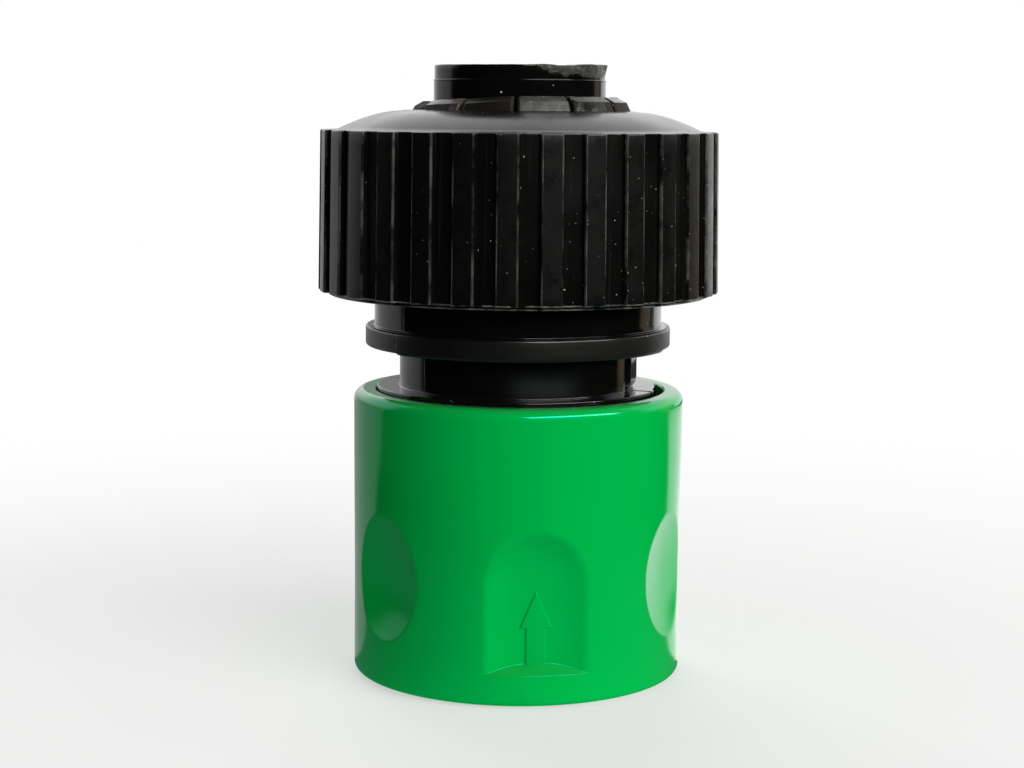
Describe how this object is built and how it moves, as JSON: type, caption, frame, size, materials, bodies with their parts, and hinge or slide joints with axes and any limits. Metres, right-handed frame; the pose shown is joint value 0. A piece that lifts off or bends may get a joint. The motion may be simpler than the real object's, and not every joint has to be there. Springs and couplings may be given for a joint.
{
  "type": "garden hose quick connector",
  "caption": "Click-on hose connector: a ribbed nut clamps the hose on its tail, and pulling back the sprung sleeve frees the plug from its claws.",
  "frame": {"origin": "middle of the socket's end face, which is the bottom of the part's box", "axes": "+Z along the water way from the plug socket to the hose tail, -Y to the front that the picture shows"},
  "size_m": [0.0424, 0.0424, 0.0648],
  "materials": {
    "black_plastic": "moulded, glossy, black",
    "black_nut_plastic": "moulded, glossy, black, dusty in the grooves",
    "black_grip_plastic": "moulded, satin, black, worn at the finger tips",
    "green_plastic": "moulded, glossy, bright green",
    "claw_plastic": "moulded, natural white",
    "spring_wire": "drawn stainless wire"
  },
  "bodies": {
    "body": {"body": "black_plastic", "return_spring": "spring_wire"},
    "grip_ring": {"grip_ring": "black_grip_plastic"},
    "nut": {"nut": "black_nut_plastic"},
    "sleeve": {"sleeve": "green_plastic"},
    "claw_1": {"claw_1": "claw_plastic"},
    "claw_2": {"claw_2": "claw_plastic"},
    "claw_3": {"claw_3": "claw_plastic"}
  },
  "joints": [
    {"name": "sleeve_slide", "type": "slide", "parent": "body", "child": "sleeve", "axis": [0, 0, 1], "range_m": [0, 0.004], "stiffness_N_per_m": 800, "springref_m": -0.005, "deforming": ["return_spring"]},
    {"name": "claw_1_slide", "type": "slide", "parent": "body", "child": "claw_1", "axis": [0.9198, -0.3923, 0], "range_m": [0, 0.0012]},
    {"name": "claw_2_slide", "type": "slide", "parent": "body", "child": "claw_2", "axis": [-0.1201, 0.9928, 0], "range_m": [0, 0.0012]},
    {"name": "claw_3_slide", "type": "slide", "parent": "body", "child": "claw_3", "axis": [-0.7997, -0.6004, 0], "range_m": [0, 0.0012]},
    {"name": "nut_lift", "type": "slide", "parent": "body", "child": "grip_ring", "axis": [0, 0, 1], "range_m": [0, 0.00901]},
    {"name": "nut_turn", "type": "hinge", "parent": "grip_ring", "child": "nut", "pos_m": [0, 0, 0.05], "axis": [0, 0, 1], "range_deg": [0, 900]}
  ],
  "couplings": [
    {"joint": "claw_1_slide", "follows": "sleeve_slide", "ratio": 0.3},
    {"joint": "claw_2_slide", "follows": "sleeve_slide", "ratio": 0.3},
    {"joint": "claw_3_slide", "follows": "sleeve_slide", "ratio": 0.3},
    {"joint": "nut_lift", "follows": "nut_turn", "m_per_rad": 0.00057296}
  ]
}
